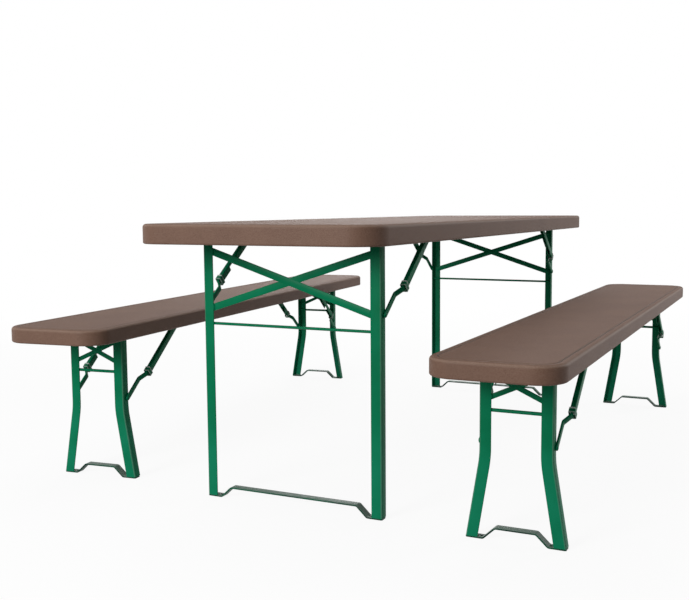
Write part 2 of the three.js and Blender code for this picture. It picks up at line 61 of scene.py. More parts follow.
# Moulded tops
TABLE_TOP = {"length": 2200 * MM, "width": 700 * MM, "rim": 52 * MM, "corner": 85 * MM}
BENCH_TOP = {"length": 2200 * MM, "width": 318 * MM, "rim": 44 * MM, "corner": 72 * MM}
CORNER_STEPS = 18
DECK = 16 * MM
RIM_WALL = 15 * MM
RECESS_DRAFT = 3 * MM
RECESS_FILLET = 7 * MM
EDGE_ROUND = 9 * MM
LIP_ROUND = 5 * MM
ROUND_STEPS = 8
GROOVE_INSET = 17 * MM
GROOVE_WIDTH = 7 * MM
GROOVE_DEPTH = 2 * MM
GROOVE_STEPS = 10
SUPPORT = 1.2 * MM  # a flat face ends in a narrow flat strip, so that it shades flat
DIMPLE_PITCH = 150 * MM
DIMPLE_LENGTH = 96 * MM
DIMPLE_WIDTH = 62 * MM
DIMPLE_DEPTH = 9 * MM
DIMPLE_MARGIN = 34 * MM
DIMPLE_TAPER = 0.72
DIMPLE_MOUTH = 1.02  # the outside of the flat strip round a dimple, as a share of its size
DIMPLE_CEILING = DIMPLE_TAPER - 0.03
DIMPLE_SIDES = 28
DIMPLE_STEPS = 5
DIMPLE_ROWS = 7

# Leg frames: drops are measured from the fold axis, and the knee's height from the floor
TABLE_FRAME = {
    "half": 269 * MM, "splay": 0, "knee": 0, "brace": 20 * MM,
    "brace_high": 41 * MM, "brace_low": 204 * MM, "rod": 8 * MM, "rod_drop": 244 * MM,
}
BENCH_FRAME = {
    "half": 91.5 * MM, "splay": 33.5 * MM, "knee": 207 * MM, "brace": 13 * MM,
    "brace_high": 24 * MM, "brace_low": 94 * MM, "rod": 9 * MM, "rod_drop": 120 * MM,
}
ANGLE_FACE = 30 * MM
ANGLE_SIDE = 27 * MM
ANGLE_WALL = 3 * MM
ANGLE_ROUND = 4 * MM
AXIS_DROP = 18 * MM
AXIS_SETBACK = 20 * MM
LEG_ABOVE_AXIS = 10 * MM
KNEE_RADIUS = 250 * MM
BRACE_THICKNESS = 4 * MM
BRACE_LAP = 16 * MM
FOOT_WIDTH = 26 * MM
FOOT_THICKNESS = 4 * MM
FOOT_PLATE = 44 * MM
FOOT_RAMP = 30 * MM
FOOT_RISE = 28 * MM
FOOT_HOLE = 8 * MM
FOOT_BEND = 9 * MM
FOOT_TRIM = 3 * MM  # the corners cut off the ends of a foot bar
FOOT_END_WIDTH = 0.8  # what the cut leaves of its width
BEND_STEPS = 6
FILLET_STEPS = 4
CORNER_FILLET_STEPS = 2
BAR_ROUND = 0.8 * MM
SHEET_ROUND = 0.4 * MM
ROD_SIDES = 20
DOME_STEPS = 6

# Weld beads: their radius, and the shares of it at their ends and in their ripples
BEAD = 2 * MM
BEAD_STEPS = 14
BEAD_SIDES = 10
BEAD_END = 0.35
BEAD_RUN_IN = 5  # a bead is full after a fifth of its length
BEAD_RIPPLE = 0.1
BEAD_RIPPLE_TURN = 2.4  # radians a step
BRACE_BEAD = 0.45  # half the length of a brace's bead, as a share of the brace's width

# Mounting plates
PLATE_THICKNESS = 2.5 * MM
PLATE_FRONT = 14 * MM
PLATE_REAR = 18 * MM
PLATE_CROSS = 38 * MM
PLATE_OUTER = 30 * MM
PLATE_INNER = 40 * MM
PLATE_ROUND = 6 * MM
EAR_THICKNESS = 3 * MM
EAR_RADIUS = 9 * MM
EAR_STEPS = 6
AXIS_PIN = 8 * MM
AXIS_HEAD = 13 * MM
AXIS_HEAD_THICKNESS = 2.5 * MM
SCREW_INSET = 28 * MM
SCREW_PLACES = (70 * MM, 150 * MM, 240 * MM)
SCREW_WASHER = 12 * MM
SCREW_WASHER_HEIGHT = 1 * MM
SCREW_HEX = 7 * MM
SCREW_HEX_LOW, SCREW_HEX_HIGH = 0.5 * MM, 3 * MM
GAP = 0.3 * MM

# Folding stays: reach and drop from the fold axis, the rest from the knee pivot and the leg's outer face
STAY_REACH = 262 * MM
STAY_DROP = 200 * MM
STAY_SPAN = math.hypot(STAY_REACH, STAY_DROP)
STAY_SLOPE = math.atan2(STAY_DROP, STAY_REACH)
UPPER_LENGTH = (STAY_SPAN + STAY_REACH - STAY_DROP) / 2
LOWER_LENGTH = STAY_SPAN - UPPER_LENGTH
STAY_STANDOFF = 5 * MM
LINK_WIDTH = 15 * MM
LINK_THICKNESS = 5 * MM
LINK_BEND = 9 * MM
LINK_END_CUTS = (0.02, 0.08, 0.2, 0.4, 0.65)  # steps of a link's round end, as shares of its radius
JOGGLE_START = 32 * MM
JOGGLE_END = 56 * MM
KNEE_PIN = 6 * MM
PIN_PROUD = 0.2 * MM
RIVET_HEAD = 12 * MM
RIVET_HEIGHT = 1.8 * MM
RIVET_TAIL = 2.5 * MM
CHANNEL_WIDTH = 13 * MM
CHANNEL_SHEET = 1.5 * MM
CHANNEL_BACK = 10 * MM
CHANNEL_FRONT = 9 * MM
CHANNEL_TAIL = 28 * MM
CHANNEL_HEAD = 9 * MM
CHANNEL_CHAMFER = 3 * MM
CHANNEL_ROUND = 2.2 * MM
NOTCH_CORNER = 0.4 * MM
NOTCH_REST = 0.02  # keeps the points of the notched flange apart
STAY_PIN = 8 * MM
STAY_HEAD = 12 * MM
STAY_HEAD_THICKNESS = 2.2 * MM
RING_SHEET = 1.6 * MM
RING_HEIGHT = 14 * MM
RING_OVERHANG = 2 * MM
RING_SLACK = 4 * MM
RING_ROUND = 3 * MM
RING_LIP = 2 * MM
RING_STEPS = 5
RING_FADE = 4 * MM  # bare steel fades into paint over this at the lower end, and a painted highlight fades over half of it below the lip
RING_END_WEAR = 0.6
# how strong the painted highlight is at the foot of a lip; on the lip itself it is full
RING_LIP_HIGHLIGHT = 0.7
RUN = 0.5 * MM
RING_FACE = GAP + LINK_THICKNESS + STAY_STANDOFF + RUN
CHANNEL_FACE = RING_FACE + RING_SHEET + RUN
CHANNEL_OUTER = CHANNEL_FACE + CHANNEL_WIDTH
LINK_UPPER_FACE = CHANNEL_FACE + (CHANNEL_WIDTH - LINK_THICKNESS) / 2
STAY_EAR_FACE = CHANNEL_FACE - GAP - EAR_THICKNESS

UNITS = {
    "table": (TABLE_TOP, TABLE_FRAME),
    "left_bench": (BENCH_TOP, BENCH_FRAME),
    "right_bench": (BENCH_TOP, BENCH_FRAME),
}
MIRROR = Matrix.Scale(-1, 4, X)

# Wear and painted light: the values kept at each vertex, the heights over which a painted sheen fades out
# up the legs, and the heights that dust reaches to
# pale marks: bare steel at a collar's lower end, painted highlight on its lips and on a leg's heel
WEAR_AND_HIGHLIGHT = "wear_and_highlight"
# darkening: painted shade in a top's groove, and a darker foot bar
DARKENING = "darkening"
HEEL_HIGHLIGHT = 0.12  # a painted highlight along the outer corner of a leg
RING_PAINT_WEAR = 0.12
SHEEN_FULL, SHEEN_END = 140 * MM, 270 * MM
DUST_FULL, DUST_END = 40 * MM, 60 * MM

# Stage: the floor's size and greys, and the distances over which its shadow fades out
FLOOR_RADIUS = 40
FLOOR_SIDES = 96
FLOOR_DROP = 0.5 * MM
FLOOR_BOUNCE = (0.3, 0.3, 0.3, 1)
FLOOR_SEEN = (0.9, 0.9, 0.9, 1)
GLOW_NEAR, GLOW_FAR = 0.92, 1.0
GLOW_START, GLOW_END = 1.8, 4.5
WHITE = (1, 1, 1, 1)
AMBIENT = 0.27

# Lamps: place, what each points at, width in metres and power in watts
LAMPS = {
    "key": ((-1.2, -5.4, 2.1), (0, 0, 0.4), 2.2, 216),
    "overhead": ((-0.4, 0.4, 4.5), (0, 0, 0), 3.5, 42),
    "right fill": ((3.4, 3.6, 2.6), (0.3, 0, 0.4), 2.5, 66),
    "rear fill": ((-2.2, 4.6, 2.3), (0, 0, 0.4), 2.5, 58),
}

# Camera: a pinhole fitted to the photograph, in the table's own frame
IMAGE_WIDTH, IMAGE_HEIGHT = 689, 600
FOCAL_PIXELS = 936.1
PRINCIPAL_X, PRINCIPAL_Y = 373.08, 298.95
CAMERA_PLACE = Vector((1.23897, -3.0405, 0.80976))
CAMERA_YAW = math.radians(24.742)
CAMERA_PITCH = math.radians(5.589)
CAMERA_ROLL = math.radians(-0.2824)
SENSOR_WIDTH = 36.0


# Mesh helpers
def mesh_piece(name, bm, material, body, node=None, smooth_angle=40):
    """A piece made of bm that rides on a body and may stand for a CAD node."""
    bmesh.ops.recalc_face_normals(bm, faces=bm.faces)
    mesh = bpy.data.meshes.new(name)
    bm.to_mesh(mesh)
    bm.free()
    for polygon in mesh.polygons:
        polygon.use_smooth = True
    mesh.set_sharp_from_angle(angle=math.radians(smooth_angle))
    mesh.materials.append(material)
    piece = bpy.data.objects.new(name, mesh)
    bpy.context.scene.collection.objects.link(piece)
    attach(piece, body)
    if node:
        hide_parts(node)
    return piece


def add_ring(bm, points):
    """New vertices at the points."""
    return [bm.verts.new(point) for point in points]


def skin(bm, rings):
    """Faces between each ring of vertices and the next."""
    for lower, upper in zip(rings, rings[1:]):
        for i in range(len(lower)):
            j = (i + 1) % len(lower)
            bm.faces.new((lower[i], lower[j], upper[j], upper[i]))


def capped(rings):
    """A closed skin through rings of points."""
    bm = bmesh.new()
    rings = [add_ring(bm, ring) for ring in rings]
    skin(bm, rings)
    bm.faces.new(rings[0])
    bm.faces.new(rings[-1])
    return bm


def merged(parts):
    """One mesh from several meshes, each moved by its own matrix."""
    total = bmesh.new()
    for part, matrix in parts:
        part.transform(matrix)
        mesh = bpy.data.meshes.new("part")
        part.to_mesh(mesh)
        part.free()
        total.from_mesh(mesh)
        bpy.data.meshes.remove(mesh)
    return total


def bored(bm, cutters):
    """bm less the cutters."""
    objects = []
    for part in (bm, merged([(cutter, Matrix()) for cutter in cutters])):
        bmesh.ops.recalc_face_normals(part, faces=part.faces)
        mesh = bpy.data.meshes.new("bored")
        part.to_mesh(mesh)
        part.free()
        objects.append(bpy.data.objects.new("bored", mesh))
        bpy.context.scene.collection.objects.link(objects[-1])
    body, cutter = objects
    hole = body.modifiers.new("hole", "BOOLEAN")
    hole.operation = "DIFFERENCE"
    hole.solver = "EXACT"
    hole.object = cutter
    bpy.context.view_layer.update()
    result = bmesh.new()
    result.from_object(body, bpy.context.evaluated_depsgraph_get())
    for item in objects:
        mesh = item.data
        bpy.data.objects.remove(item)
        bpy.data.meshes.remove(mesh)
    return result


def marked(bm, name, chosen, value=1.0, section=1):
    """bm with a value kept at the chosen places of each ring of a section."""
    layer = bm.verts.layers.float.new(name)
    for i, vertex in enumerate(bm.verts):
        vertex[layer] = value if i % section in chosen else 0.0
    return bm


def ring_edges(bm, ring):
    """The edges round a ring of vertices, made where they are missing."""
    pairs = [(ring[i - 1], ring[i]) for i in range(len(ring))]
    return [bm.edges.get(pair) or bm.edges.new(pair) for pair in pairs]


def axes_matrix(origin, x_axis, y_axis):
    """The matrix of a local frame, from its origin and two of its axes."""
    x_axis, y_axis = Vector(x_axis).normalized(), Vector(y_axis).normalized()
    columns = (x_axis, y_axis, x_axis.cross(y_axis), Vector(origin))
    return Matrix([[column[row] for column in columns] for row in range(3)] + [[0, 0, 0, 1]])


def unit_matrix(name):
    """Under the middle of a table or bench, with X across it and Y along it."""
    low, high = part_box(f"{name}_top")
    x_axis = Vector(JOINTS[f"{name}_front_fold"]["axis"])
    return axes_matrix(((low.x + high.x) / 2, (low.y + high.y) / 2, 0), x_axis, Z.cross(x_axis))


def frame_matrix(key):
    """The middle of a leg frame's fold axis, with X along it and Y towards the middle of the top."""
    unit = key.rsplit("_", 1)[0]
    x_axis = Vector(JOINTS[f"{key}_fold"]["axis"])
    to_unit = unit_matrix(unit).inverted()
    place = to_unit @ Vector(JOINTS[f"{key}_fold"]["pos_m"])
    place.x = 0
    return axes_matrix(unit_matrix(unit) @ place, x_axis, Z.cross(x_axis))


def stay_matrix(key):
    """The knee of a frame's stays, with Y up along them."""
    back, drop = UPPER_LENGTH * math.cos(STAY_SLOPE), UPPER_LENGTH * math.sin(STAY_SLOPE)
    place = Vector((0, STAY_REACH - back, -drop))
    return frame_matrix(key) @ Matrix.Translation(place) @ Matrix.Rotation(STAY_SLOPE, 4, "X")


# Outlines and bars
def arc(centre, start, end, steps):
    """Points round a centre from one arm to another, the short way."""
    first = math.atan2(start.y, start.x)
    turn = (math.atan2(end.y, end.x) - first + math.pi) % (2 * math.pi) - math.pi
    angles = [first + turn * step / steps for step in range(steps + 1)]
    return [centre + start.length * Vector((math.cos(a), math.sin(a))) for a in angles]


def rounded_corner(before, here, after, radius, steps):
    """The points of a corner between two straight sides."""
    back, ahead = (before - here).normalized(), (after - here).normalized()
    half_angle = back.angle(ahead) / 2
    reach = radius / math.tan(half_angle)
    centre = here + (back + ahead).normalized() * radius / math.sin(half_angle)
    return arc(centre, here + back * reach - centre, here + ahead * reach - centre, steps)


def filleted(corners, steps=FILLET_STEPS):
    """A closed outline from corners of (u, v, radius)."""
    points = [Vector(corner[:2]) for corner in corners]
    outline = []
    for i, corner in enumerate(corners):
        after = points[(i + 1) % len(points)]
        outline += rounded_corner(points[i - 1], points[i], after, corner[2], steps)
    return outline


def block_outline(width, height, radius=BAR_ROUND):
    """A rectangle with rounded corners."""
    u, v = width / 2, height / 2
    corners = [(u, v, radius), (-u, v, radius), (-u, -v, radius), (u, -v, radius)]
    return filleted(corners, CORNER_FILLET_STEPS)


def circle(radius, sides=ROD_SIDES):
    """A round outline."""
    turns = [2 * math.pi * i / sides for i in range(sides)]
    return [Vector((radius * math.cos(t), radius * math.sin(t))) for t in turns]


def sweep(stops, section):
    """A bar along stops of (point, width direction, thickness direction)."""
    return capped([[point + wide * s.x + thick * s.y for s in section] for point, wide, thick in stops])


def bar(start, end, wide, section):
    """A straight bar. Its section's first direction is wide."""
    start, end, wide = Vector(start), Vector(end), Vector(wide)
    thick = (end - start).normalized().cross(wide)
    return sweep([(start, wide, thick), (end, wide, thick)], section)


def bent_path(points, radius):
    """Stops of (point, direction) along a bent line, as 2-D vectors."""
    points = [Vector(point) for point in points]
    path = [points[0]]
    for before, here, after in zip(points, points[1:], points[2:]):
        path += rounded_corner(before, here, after, radius, BEND_STEPS)
    path.append(points[-1])
    travel = [(b - a).normalized() for a, b in zip(path, path[1:])]
    along = [travel[0]] + [(a + b).normalized() for a, b in zip(travel, travel[1:])] + [travel[-1]]
    return list(zip(path, along))


def slab(outline, low, high, edge=SHEET_ROUND):
    """A flat plate with rounded edges: the outline in X and Y, from low to high in Z."""
    bm = capped([[Vector((p.x, p.y, z)) for p in outline] for z in (low, high)])
    caps = [face for face in bm.faces if len(face.verts) == len(outline)]
    rims = list({rim for face in caps for rim in face.edges})
    bmesh.ops.bevel(
        bm, geom=rims, offset=edge, segments=2, profile=0.5, affect="EDGES", clamp_overlap=True
    )
    return bm


def dome(radius, height, sides=ROD_SIDES, foot=0.25):
    """A domed head on the plane Z = 0."""
    rings = [[p.to_3d() for p in circle(radius, sides)]]
    for step in range(DOME_STEPS):
        turn = math.radians(90 * step / DOME_STEPS)
        z = height * (foot + (1 - foot) * math.sin(turn))
        rings.append([Vector((p.x, p.y, z)) for p in circle(radius * math.cos(turn), sides)])
    return capped(rings)


def facing(direction, place):
    """A matrix that stands what is built on Z = 0 at place, pointing in a direction."""
    turn = Vector(direction).to_track_quat("Z", "Y").to_matrix().to_4x4()
    return Matrix.Translation(Vector(place)) @ turn


def weld_bead(start, end, radius=BEAD):
    """A rippled bead of weld from start to end."""
    start, end = Vector(start), Vector(end)
    travel = (end - start).normalized()
    wide = travel.orthogonal().normalized()
    thick = travel.cross(wide)
    stops = []
    for step in range(BEAD_STEPS + 1):
        share = step / BEAD_STEPS
        full = min(1, BEAD_RUN_IN * share, BEAD_RUN_IN * (1 - share))
        ripple = BEAD_RIPPLE * math.sin(BEAD_RIPPLE_TURN * step)
        swell = BEAD_END + (1 - BEAD_END) * full + ripple
        stops.append((start.lerp(end, share), wide * swell, thick * swell))
    return sweep(stops, circle(radius, BEAD_SIDES))


# Material helpers
def new_material(name, roughness, metallic=0.0, specular=0.5):
    """A material, with its nodes, its links and its shader."""
    material = bpy.data.materials.new(name)
    material.use_nodes = True
    nodes = material.node_tree.nodes
    shader = nodes["Principled BSDF"]
    shader.inputs["Roughness"].default_value = roughness
    shader.inputs["Metallic"].default_value = metallic
    shader.inputs["Specular IOR Level"].default_value = specular
    return material, nodes, material.node_tree.links, shader


def linear(red, green, blue):
    """A colour as seen on a screen, from 0 to 255, as linear light."""
    channels = [value / 255 for value in (red, green, blue)]
    return tuple(c / 12.92 if c <= 0.04045 else ((c + 0.055) / 1.055) ** 2.4 for c in channels) + (1.0,)


def texture(nodes, links, kind, scale, stretch=(1, 1, 1), **settings):
    """The strength of a texture, with a scale per metre. It lies on the piece and moves with it."""
    place = nodes.new("ShaderNodeTexCoord")
    mapping = nodes.new("ShaderNodeMapping")
    mapping.inputs["Scale"].default_value = stretch
    node = nodes.new(kind)
    node.inputs["Scale"].default_value = scale
    for key, value in settings.items():
        node.inputs[key].default_value = value
    links.new(place.outputs["Object"], mapping.inputs["Vector"])
    links.new(mapping.outputs["Vector"], node.inputs["Vector"])
    return node.outputs[0]


def ramp(nodes, links, source, stops):
    """A colour for each value, from stops of (value, colour)."""
    node = nodes.new("ShaderNodeValToRGB")
    elements = node.color_ramp.elements
    while len(elements) < len(stops):
        elements.new(0.5)
    for element, (position, colour) in zip(elements, stops):
        element.position = position
        element.color = colour
    links.new(source, node.inputs["Fac"])
    return node.outputs["Color"]


def mixed(nodes, links, factor, first, second, blend_type="MIX"):
    """Two colours in one. The factor and both colours can be values or sockets."""
    node = nodes.new("ShaderNodeMix")
    node.data_type = "RGBA"
    node.blend_type = blend_type
    for socket, value in (("Factor", factor), ("A", first), ("B", second)):
        target = [item for item in node.inputs if item.name == socket and item.enabled][0]
        if isinstance(value, bpy.types.NodeSocket):
            links.new(value, target)
        else:
            target.default_value = value
    return [item for item in node.outputs if item.enabled][0]


def spread(nodes, links, source, onto, given=(0.0, 1.0)):
    """The source's values, spread from a given range onto another."""
    node = nodes.new("ShaderNodeMapRange")
    node.inputs["From Min"].default_value, node.inputs["From Max"].default_value = given
    node.inputs["To Min"].default_value, node.inputs["To Max"].default_value = onto
    links.new(source, node.inputs["Value"])
    return node.outputs["Result"]


def kept(nodes, name):
    """A value that is kept at each vertex."""
    node = nodes.new("ShaderNodeAttribute")
    node.attribute_name = name
    return node.outputs["Fac"]


def product(nodes, links, first, second):
    """Two values multiplied."""
    node = nodes.new("ShaderNodeMath")
    node.operation = "MULTIPLY"
    links.new(first, node.inputs[0])
    links.new(second, node.inputs[1])
    return node.outputs["Value"]


def bump(nodes, links, height, strength, distance, normal=None):
    """A surface that follows heights, and may lie over another one."""
    node = nodes.new("ShaderNodeBump")
    node.inputs["Strength"].default_value = strength
    node.inputs["Distance"].default_value = distance
    links.new(height, node.inputs["Height"])
    if normal:
        links.new(normal, node.inputs["Normal"])
    return node.outputs["Normal"]


def upward_part(nodes, links, output):
    """The Z part of one of the piece's own coordinates."""
    place = nodes.new("ShaderNodeTexCoord")
    parts = nodes.new("ShaderNodeSeparateXYZ")
    links.new(place.outputs[output], parts.inputs["Vector"])
    return parts.outputs["Z"]


# Materials: colours, the scales of textures per metre, and where rubbing and chipping set in
PLASTIC_DARK, PLASTIC_LIGHT = linear(114, 88, 75), linear(121, 94, 80)
# the paler edge brown is a painted highlight
PLASTIC_SCUFF, PLASTIC_EDGE_HIGHLIGHT = linear(150, 130, 117), linear(152, 130, 116)
# painted shade for the groove
PLASTIC_GROOVE_SHADE = linear(52, 39, 32)
GRAIN_MIDDLE, GRAIN_BORDER = linear(255, 255, 255), linear(214, 208, 202)
PAINT_DARK, PAINT_LIGHT = linear(0, 102, 66), linear(0, 112, 75)
# the paler scuff green is a painted sheen low on the legs
PAINT_SHEEN, PAINT_DARKENED = linear(14, 119, 85), linear(10, 44, 34)
PAINT_DUST, PAINT_RUBBED = linear(122, 140, 130), linear(96, 160, 136)
# the bare steel colour also serves for painted highlights
PRIMER, BARE_STEEL_AND_HIGHLIGHT = linear(150, 152, 150), linear(206, 212, 208)
ZINC_DARK, ZINC_LIGHT = linear(150, 152, 152), linear(196, 198, 196)
PLASTIC_PATCHES, PLASTIC_GRAIN, PLASTIC_FINE_GRAIN, PLASTIC_SCUFFS = 7.0, 620.0, 1700.0, 30.0
PLASTIC_SCUFF_STRETCH = (0.5, 6.0, 6.0)
PAINT_PATCHES, PAINT_PEEL, PAINT_RUB = 14.0, 900.0, 55.0
ZINC_PATCHES = 300.0
RUB_START, RUB_FULL = 0.7, 0.82
CHIP_START, CHIP_FULL = 0.81, 0.83


def brown_plastic():
    """Blow-moulded polyethylene, grained and dull on the upper face and smoother round the rim, with a
    painted highlight on its edge rounds and painted shade in its groove.
    """
    material, nodes, links, shader = new_material("brown_plastic", roughness=0.5, specular=0.17)
    patches = texture(nodes, links, "ShaderNodeTexNoise", PLASTIC_PATCHES, Detail=4.0)
    grain = texture(nodes, links, "ShaderNodeTexVoronoi", PLASTIC_GRAIN)
    fine = texture(nodes, links, "ShaderNodeTexNoise", PLASTIC_FINE_GRAIN, Detail=2.0)
    scuffs = texture(
        nodes, links, "ShaderNodeTexNoise", PLASTIC_SCUFFS, PLASTIC_SCUFF_STRETCH, Detail=6.0
    )
    tone = ramp(nodes, links, patches, [(0.3, PLASTIC_DARK), (0.7, PLASTIC_LIGHT)])
    scuff_and_sheen = spread(nodes, links, scuffs, (0.0, 0.35), given=(0.62, 0.8))
    tone = mixed(nodes, links, scuff_and_sheen, tone, PLASTIC_SCUFF)
    lean = upward_part(nodes, links, "Normal")
    outward = spread(nodes, links, lean, (1.0, 0.0), given=(0.75, 0.97))
    # painted highlight: edge rounds, whose normal leans between upward and sideways, are mixed towards a
    # paler brown
    edge = product(nodes, links, outward, spread(nodes, links, lean, (0.0, 0.5), given=(0.2, 0.6)))
    tone = mixed(nodes, links, edge, tone, PLASTIC_EDGE_HIGHLIGHT)
    # painted shade in the groove, uneven in patches
    uneven = spread(nodes, links, patches, (0.6, 1.0), given=(0.3, 0.6))
    groove_shade = product(nodes, links, kept(nodes, DARKENING), uneven)
    tone = mixed(nodes, links, groove_shade, tone, PLASTIC_GROOVE_SHADE)
    shade = ramp(nodes, links, grain, [(0.15, GRAIN_MIDDLE), (0.75, GRAIN_BORDER)])
    links.new(mixed(nodes, links, 1.0, tone, shade, "MULTIPLY"), shader.inputs["Base Color"])
    upward = spread(nodes, links, lean, (0.0, 1.0), given=(0.5, 0.95))
    smooth = spread(nodes, links, fine, (0.46, 0.6))
    rough = spread(nodes, links, fine, (0.6, 0.76))
    links.new(mixed(nodes, links, upward, smooth, rough), shader.inputs["Roughness"])
    coarse = bump(nodes, links, grain, strength=0.35, distance=0.4 * MM)
    surface = bump(nodes, links, fine, strength=0.2, distance=0.2 * MM, normal=coarse)
    links.new(surface, shader.inputs["Normal"])
    return material


def green_paint(name, wear):
    """Powder coat on steel: a slight orange peel, rubbed pale and chipped in places, with a painted sheen
    low down, paler where one vertex value asks for it and darker where another does.
    """
    material, nodes, links, shader = new_material(name, roughness=0.42, specular=0.06)
    patches = texture(nodes, links, "ShaderNodeTexNoise", PAINT_PATCHES, Detail=5.0)
    peel = texture(nodes, links, "ShaderNodeTexNoise", PAINT_PEEL, Detail=1.0)
    rub = texture(nodes, links, "ShaderNodeTexNoise", PAINT_RUB, Detail=8.0, Roughness=0.7)
    tone = ramp(nodes, links, patches, [(0.3, PAINT_DARK), (0.7, PAINT_LIGHT)])
    height = upward_part(nodes, links, "Object")
    upward = spread(nodes, links, upward_part(nodes, links, "Normal"), (0.0, 1.0), given=(0.4, 0.8))
    uneven = spread(nodes, links, patches, (0.5, 1.0), given=(0.35, 0.6))
    # painted sheen: parts below about a quarter metre are lightened towards a paler green, in patches
    scuff_and_sheen = spread(nodes, links, height, (1.0, 0.0), given=(SHEEN_FULL, SHEEN_END))
    tone = mixed(nodes, links, product(nodes, links, scuff_and_sheen, uneven), tone, PAINT_SHEEN)
    # darker green where a vertex value asks for it, uneven in patches: all of each foot bar
    darkened = product(nodes, links, kept(nodes, DARKENING), uneven)
    tone = mixed(nodes, links, darkened, tone, PAINT_DARKENED)
    dusty = spread(nodes, links, height, (1.0, 0.0), given=(DUST_FULL, DUST_END))
    settled = product(nodes, links, upward, dusty)
    tone = mixed(nodes, links, product(nodes, links, settled, uneven), tone, PAINT_DUST)
    rubbed = spread(nodes, links, rub, (0.0, 0.5), given=(RUB_START - wear, RUB_FULL - wear / 2))
    tone = mixed(nodes, links, rubbed, tone, PAINT_RUBBED)
    chipped = spread(nodes, links, rub, (0.0, 1.0), given=(CHIP_START - wear, CHIP_FULL - wear / 2))
    tone = mixed(nodes, links, chipped, tone, PRIMER)
    # pale at marked vertices: bare steel at a collar's lower end, painted highlight on lips and heels
    worn_and_highlighted = product(nodes, links, kept(nodes, WEAR_AND_HIGHLIGHT), spread(nodes, links, rub, (0.35, 1.2)))
    tone = mixed(nodes, links, worn_and_highlighted, tone, BARE_STEEL_AND_HIGHLIGHT)
    links.new(tone, shader.inputs["Base Color"])
    links.new(spread(nodes, links, patches, (0.3, 0.48)), shader.inputs["Roughness"])
    coat = bump(nodes, links, peel, strength=0.18, distance=0.3 * MM)
    surface = bump(nodes, links, rub, strength=0.1, distance=0.3 * MM, normal=coat)
    links.new(surface, shader.inputs["Normal"])
    return material


def zinc_plate():
    """Bright zinc on small screws, dulled in patches."""
    material, nodes, links, shader = new_material("zinc_plate", roughness=0.35, metallic=1.0)
    patches = texture(nodes, links, "ShaderNodeTexNoise", ZINC_PATCHES, Detail=4.0)
    tone = ramp(nodes, links, patches, [(0.3, ZINC_DARK), (0.7, ZINC_LIGHT)])
    links.new(tone, shader.inputs["Base Color"])
    links.new(spread(nodes, links, patches, (0.28, 0.5)), shader.inputs["Roughness"])
    links.new(bump(nodes, links, patches, strength=0.1, distance=0.2 * MM), shader.inputs["Normal"])
    return material


# Moulded tops
def top_profile(height, rim):
    """The section of a top as pairs of inset and height, from the upper face round to the recess."""
    bottom = height - rim
    ceiling = height - DECK
    groove_end = GROOVE_INSET + GROOVE_WIDTH
    points = [(groove_end + SUPPORT, height)]
    for step in range(GROOVE_STEPS + 1):
        share = step / GROOVE_STEPS
        depth = GROOVE_DEPTH * math.sin(math.pi * share) ** 2
        points.append((groove_end - GROOVE_WIDTH * share, height - depth))
    points.append((GROOVE_INSET - SUPPORT, height))
    points.append((EDGE_ROUND + SUPPORT, height))
    points += quarter_round(EDGE_ROUND, height - EDGE_ROUND, EDGE_ROUND, 0)
    points.append((0, height - EDGE_ROUND - SUPPORT))
    points.append((0, bottom + LIP_ROUND + SUPPORT))
    points += quarter_round(LIP_ROUND, bottom + LIP_ROUND, LIP_ROUND, 90)
    points.append((RIM_WALL - LIP_ROUND / 2, bottom))
    points += [(RIM_WALL - LIP_ROUND / 5, bottom + LIP_ROUND / 8), (RIM_WALL, bottom + LIP_ROUND / 2)]
    wall = RIM_WALL + RECESS_DRAFT
    for step in range(ROUND_STEPS + 1):
        angle = math.radians(90 * step / ROUND_STEPS)
        inset = wall + RECESS_FILLET * (1 - math.cos(angle))
        points.append((inset, ceiling - RECESS_FILLET * (1 - math.sin(angle))))
    points.append((wall + RECESS_FILLET + SUPPORT, ceiling))
    return points


def quarter_round(inset, z, radius, start):
    """A quarter of a circle in a top's section, from a start in degrees."""
    turns = [math.radians(start + 90 * step / ROUND_STEPS) for step in range(ROUND_STEPS + 1)]
    return [(inset - radius * math.sin(turn), z + radius * math.cos(turn)) for turn in turns]


def top_ring(size, inset, z):
    """A top's outline with round corners, set in from its edge."""
    radius = max(size["corner"] - inset, LIP_ROUND)
    cx = size["width"] / 2 - inset - radius
    cy = size["length"] / 2 - inset - radius
    points = []
    for quarter, (x, y) in enumerate(((cx, cy), (-cx, cy), (-cx, -cy), (cx, -cy))):
        for step in range(CORNER_STEPS + 1):
            angle = math.radians(90 * (quarter + step / CORNER_STEPS))
            points.append(Vector((x + radius * math.cos(angle), y + radius * math.sin(angle), z)))
    return points


def dimple_places(size):
    """The middles of the dimples, in rows across the underside."""
    reach = size["width"] - 2 * (RIM_WALL + RECESS_DRAFT + DIMPLE_MARGIN) - DIMPLE_WIDTH
    columns = int(reach / DIMPLE_PITCH) + 1
    return [
        ((column - (columns - 1) / 2) * DIMPLE_PITCH, (row - (DIMPLE_ROWS - 1) / 2) * DIMPLE_PITCH)
        for row in range(DIMPLE_ROWS)
        for column in range(columns)
    ]


def oval(x, y, z, scale):
    """The outline of a dimple at a height."""
    half_width, half_length = scale * DIMPLE_WIDTH / 2, scale * DIMPLE_LENGTH / 2
    turns = [2 * math.pi * i / DIMPLE_SIDES for i in range(DIMPLE_SIDES)]
    return [Vector((x + half_width * math.cos(t), y + half_length * math.sin(t), z)) for t in turns]


